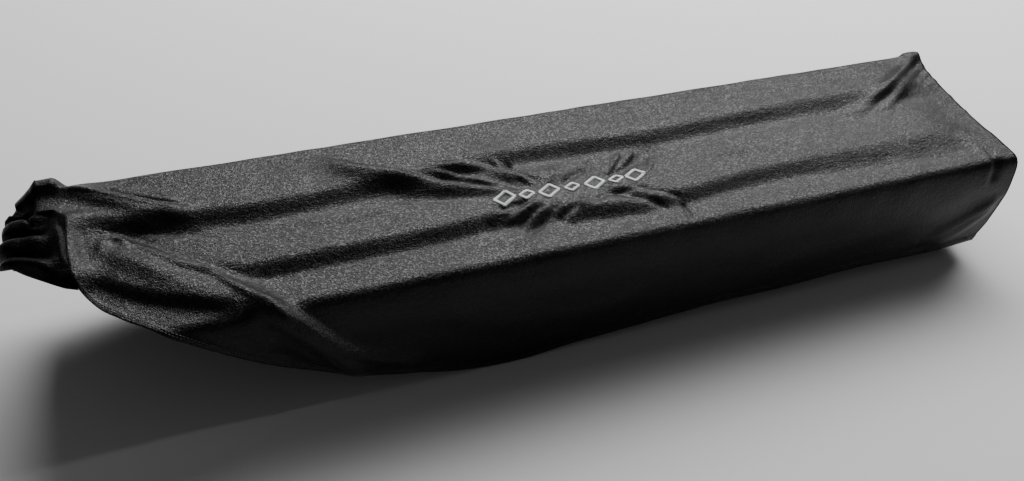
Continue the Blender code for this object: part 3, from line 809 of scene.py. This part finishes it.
def thread_strands(name, starts, ends, normals, width, crown, material):
    """One mesh of short satin strands: each is an arched lozenge section swept from start to end."""
    bm = bmesh.new()
    for start, end, normal in zip(starts, ends, normals):
        run = end - start
        side = np.cross(normal, run)
        side /= np.linalg.norm(side) + 1e-9
        rings = []
        for f in np.linspace(0.0, 1.0, STRAND_STEPS + 1):
            arch = crown * (1.0 - (2.0 * f - 1.0) ** 4)
            narrow = 1.0 - STRAND_TIP * abs(2.0 * f - 1.0) ** 3
            middle = start + run * f + normal * arch
            half = side * width * 0.5 * narrow
            thick = normal * width * STRAND_DEPTH
            rings.append([middle - half, middle + thick, middle + half, middle - thick])
        verts = [[bm.verts.new(row_frame(p)) for p in ring] for ring in rings]
        for ring, after in zip(verts, verts[1:]):
            for k in range(4):
                bm.faces.new((ring[k], ring[(k + 1) % 4], after[(k + 1) % 4], after[k]))
        bm.faces.new(verts[0][::-1])
        bm.faces.new(verts[-1])
    bmesh.ops.recalc_face_normals(bm, faces=bm.faces)
    return mesh_object(name, bm, material)


def lozenge_ring(centre_x, shape):
    """Corners of one leaning lozenge outline of the embroidered row."""
    long, high = shape.half_length, shape.half_height
    corners = ((-long, 0.0), (0.0, high), (long, 0.0), (0.0, -high))
    return [(centre_x + u + MOTIF_LEAN * v, MOTIF_Y + v) for u, v in corners]


class CoverSettings(bpy.types.PropertyGroup):
    """Sizes and colours of the cover."""

    cloth_colour: FloatVectorProperty(
        name="Cloth colour", description="Colour of the velvet's ground", subtype="COLOR", size=3,
        default=(0.0035, 0.0035, 0.0038), min=0.0, max=1.0,
    )
    pile_glint: FloatProperty(
        name="Pile glint", description="Brightness of the fibres that glint", subtype="FACTOR",
        default=0.066,
    )
    cloth_thickness: FloatProperty(
        name="Cloth thickness", description="Thickness of the velvet", unit="LENGTH", default=0.0013,
    )
    thread_colour: FloatVectorProperty(
        name="Thread colour", description="Colour of the embroidery", subtype="COLOR", size=3,
        default=(0.93, 0.94, 0.96), min=0.0, max=1.0,
    )
    strand_pitch: FloatProperty(
        name="Strand pitch", description="Distance between satin strands", unit="LENGTH", default=0.0007,
    )
    stitch_pitch: FloatProperty(
        name="Stitch pitch", description="Length of one hem stitch with its gap", unit="LENGTH",
        default=0.0042,
    )
    hem_depth: FloatProperty(
        name="Hem depth", description="Distance of the stitching from the hem's edge", unit="LENGTH",
        default=0.008,
    )
    floor_tone: FloatProperty(
        name="Floor tone", description="Lightness of the studio floor", subtype="FACTOR", default=0.8,
    )
    rear_light: FloatProperty(
        name="Rear light", description="Power of the large light behind the cover", default=150.0, min=0.0,
    )
    side_light: FloatProperty(
        name="Side light", description="Power of the spot that picks out the ridge on the front",
        default=90.0, min=0.0,
    )
    fill_light: FloatProperty(
        name="Fill light", description="Strength of the even light all round", default=0.07, min=0.0,
    )


class COVER_OT_stage(bpy.types.Operator):
    """Adds the floor, the camera and the lights"""

    bl_idname = "cover.stage"
    bl_label = "Stage"

    def execute(self, context):
        settings = context.scene.cover
        floor_z = FRAME_BOX[0][2] - FLOOR_DROP
        sides = (-FLOOR_REACH, FLOOR_REACH)
        corners = np.array([[(x, y, floor_z) for x in sides] for y in sides])
        grid_object("floor", ORIGIN + corners / MM, floor_material(settings))

        camera = bpy.data.cameras.new("camera")
        camera.lens = CAMERA_LENS
        camera.sensor_width = CAMERA_SENSOR
        camera.sensor_fit = "HORIZONTAL"
        camera.clip_start = CAMERA_NEAR
        place = row_frame(CAMERA_PLACE)
        context.scene.camera = placed(camera, CAMERA_RIGHT, CAMERA_UP, CAMERA_BACK, place)

        rear = bpy.data.lights.new("rear softbox", "AREA")
        rear.shape = "RECTANGLE"
        rear.size, rear.size_y = REAR_LIGHT_SIZE
        rear.energy = settings.rear_light
        aimed(rear, REAR_LIGHT_PLACE, REAR_LIGHT_TARGET)
        side = bpy.data.lights.new("side spot", "SPOT")
        side.spot_size, side.spot_blend = SIDE_LIGHT_ANGLE, 1.0
        side.shadow_soft_size = SIDE_LIGHT_RADIUS
        side.energy = settings.side_light
        aimed(side, SIDE_LIGHT_PLACE, SIDE_LIGHT_TARGET)

        world = bpy.data.worlds.new("studio")
        world.use_nodes = True
        background = world.node_tree.nodes["Background"]
        background.inputs["Color"].default_value = WHITE
        background.inputs["Strength"].default_value = settings.fill_light
        context.scene.world = world
        return {"FINISHED"}


class COVER_OT_panels(bpy.types.Operator):
    """Adds the main panel and the two end panels of velvet"""

    bl_idname = "cover.panels"
    bl_label = "Velvet panels"

    def execute(self, context):
        velvet = velvet_material("black_velvet", 1.0)
        # Painted shade: the end panels get a darker copy of the velvet.
        shaded_end_velvet = velvet_material("black_velvet_painted_shade_ends", PAINTED_END_SHADE_SHARE)
        main = main_points()
        cloth_sheet("main_cloth", "main_panel", main, velvet)
        cloth_sheet("left_end_cloth", "left_end_panel", left_points(main), shaded_end_velvet)
        cloth_sheet("right_end_cloth", "right_end_panel", right_points(main), shaded_end_velvet)
        return {"FINISHED"}


class COVER_OT_embroidery(bpy.types.Operator):
    """Adds the embroidered row of satin lozenges"""

    bl_idname = "cover.embroidery"
    bl_label = "Embroidered row"

    def execute(self, context):
        settings = context.scene.cover
        pitch = settings.strand_pitch / MM
        centres, across_run = [], []
        for k, centre in enumerate(MOTIF_X):
            shape = SMALL_LOZENGE if k % 2 else LARGE_LOZENGE
            corners = lozenge_ring(centre, shape)
            for (x0, y0), (x1, y1) in zip(corners, corners[1:] + corners[:1]):
                run = np.array((x1 - x0, y1 - y0))
                length = np.hypot(*run)
                slant = np.array((-run[1], run[0])) / length * shape.band + run / length * STRAND_SLANT
                for f in np.arange(0.0, length, pitch) / length:
                    centres.append((x0 + run[0] * f, y0 + run[1] * f))
                    across_run.append(slant)
        centres, across_run = np.array(centres), np.array(across_run)
        start = centres - across_run / 2
        end = centres + across_run / 2
        proud = settings.cloth_thickness / MM + STRAND_PROUD
        starts, normals = on_main(start[:, 0], start[:, 1], proud)
        ends, _ = on_main(end[:, 0], end[:, 1], proud)
        width, material = pitch * STRAND_WIDTH, thread_material(settings)
        row = thread_strands("embroidered_row", starts, ends, normals, width, STRAND_CROWN, material)
        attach(row, "root")
        return {"FINISHED"}


class COVER_OT_stitching(bpy.types.Operator):
    """Adds the two rows of stitches along the front and rear hems"""

    bl_idname = "cover.stitching"
    bl_label = "Hem stitching"

    def execute(self, context):
        settings = context.scene.cover
        pitch = settings.stitch_pitch / MM
        depth = settings.hem_depth / MM
        proud = settings.cloth_thickness / MM + STITCH_PROUD
        starts, ends, normals = [], [], []
        for table, toward in ((FRONT_HEM, 1.0), (REAR_HEM, -1.0)):
            last = min(table[-1].x, LENGTH) - STITCH_MARGIN
            x = np.arange(table[0].x + STITCH_MARGIN, last, STITCH_STEP)
            for row in STITCH_ROWS:
                across = curve_through(table, x) + toward * (depth - row)
                line, normal = on_main(x, across, proud)
                lengths = np.linalg.norm(np.diff(line, axis=0), axis=1)
                reach = np.concatenate([[0.0], np.cumsum(lengths)])
                begin = np.arange(0.0, reach[-1] - pitch, pitch)
                for at, keep in ((begin, starts), (begin + pitch * STITCH_SHARE, ends)):
                    keep.append(np.stack([np.interp(at, reach, line[:, k]) for k in range(3)], axis=1))
                facing = np.stack([np.interp(begin, reach, normal[:, k]) for k in range(3)], axis=1)
                normals.append(facing)
        starts, ends, normals = (np.concatenate(part) for part in (starts, ends, normals))
        shape = (STITCH_WIDTH, STITCH_CROWN)
        stitches = thread_strands("hem_stitches", starts, ends, normals, *shape, stitch_material())
        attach(stitches, "root")
        return {"FINISHED"}


class COVER_PT_panel(bpy.types.Panel):
    """Sizes, colours and builders of the cover"""

    bl_idname = "COVER_PT_panel"
    bl_label = "Piano cover"
    bl_space_type = "VIEW_3D"
    bl_region_type = "UI"
    bl_category = "Cover"

    def draw(self, context):
        for name in CoverSettings.__annotations__:
            self.layout.prop(context.scene.cover, name)
        for operator in OPERATORS:
            self.layout.operator(operator.bl_idname)


OPERATORS = (COVER_OT_stage, COVER_OT_panels, COVER_OT_embroidery, COVER_OT_stitching)
CLASSES = (CoverSettings,) + OPERATORS + (COVER_PT_panel,)


def register():
    for cls in CLASSES:
        bpy.utils.register_class(cls)
    bpy.types.Scene.cover = PointerProperty(type=CoverSettings)


def unregister():
    del bpy.types.Scene.cover
    for cls in reversed(CLASSES):
        bpy.utils.unregister_class(cls)


def main():
    register()
    bpy.ops.cover.stage()
    bpy.ops.cover.panels()
    bpy.ops.cover.embroidery()
    bpy.ops.cover.stitching()
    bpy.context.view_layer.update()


if __name__ == "__main__":
    main()
